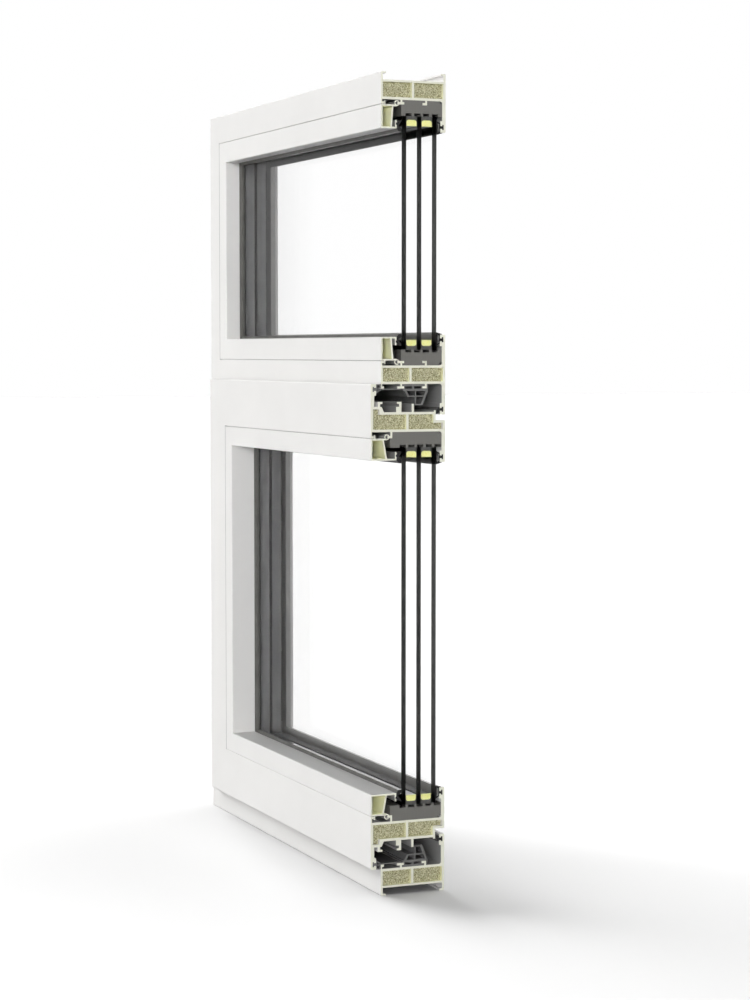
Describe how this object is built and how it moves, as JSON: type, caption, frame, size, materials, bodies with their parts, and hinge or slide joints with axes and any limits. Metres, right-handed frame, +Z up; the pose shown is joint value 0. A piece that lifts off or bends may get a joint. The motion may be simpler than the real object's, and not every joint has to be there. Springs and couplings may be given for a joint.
{
  "type": "cut-away sample of a tilt and turn window",
  "caption": "Upright cut-away window sample: white hollow foam-filled profiles with a fixed light above a tilt and turn sash, triple glazed, sawn through at the right to show the sections.",
  "frame": {"origin": "middle of the bounding box at floor level, under the sill's fixing feet", "axes": "+X from the whole left side towards the saw cut, +Y from the room outwards, +Z up"},
  "size_m": [0.636, 0.0984, 1],
  "materials": {
    "white_profile": "smooth satin white",
    "white_bead": "smooth satin white",
    "chamber_foam": "coarse speckled foam",
    "clear_glass": "clear polished",
    "spacer_shell": "matt dark grey",
    "desiccant": "matt pale yellow",
    "edge_sealant": "matt dark grey",
    "packer_plastic": "matt grey",
    "black_gasket": "matt black",
    "grey_gasket": "matt grey",
    "grey_strip": "matt grey"
  },
  "bodies": {
    "root": {"centre_gasket": "grey_gasket", "cover_strip": "grey_strip", "fixed_bead_bottom": "white_bead", "fixed_bead_gasket": "black_gasket", "fixed_bead_left": "white_bead", "fixed_bead_top": "white_bead", "fixed_desiccant": "desiccant", "fixed_edge_seal": "edge_sealant", "fixed_outer_gasket": "black_gasket", "fixed_packers": "packer_plastic", "fixed_pane_inner": "clear_glass", "fixed_pane_middle": "clear_glass", "fixed_pane_outer": "clear_glass", "fixed_spacers": "spacer_shell", "head_foam": "chamber_foam", "head_frame": "white_profile", "left_jamb_foam": "chamber_foam", "left_jamb_frame": "white_profile", "sash_bead_bottom": "white_bead", "sash_bead_gasket": "black_gasket", "sash_bead_left": "white_bead", "sash_bead_top": "white_bead", "sash_bottom_rail": "white_profile", "sash_bottom_rail_foam": "chamber_foam", "sash_desiccant": "desiccant", "sash_edge_seal": "edge_sealant", "sash_left_stile": "white_profile", "sash_left_stile_foam": "chamber_foam", "sash_outer_gasket": "black_gasket", "sash_overlap_gasket": "grey_gasket", "sash_packers": "packer_plastic", "sash_pane_inner": "clear_glass", "sash_pane_middle": "clear_glass", "sash_pane_outer": "clear_glass", "sash_spacers": "spacer_shell", "sash_top_rail": "white_profile", "sash_top_rail_foam": "chamber_foam", "sill_foam": "chamber_foam", "sill_frame": "white_profile", "transom": "white_profile", "transom_foam": "chamber_foam", "weather_gasket": "black_gasket"}
  },
  "joints": []
}
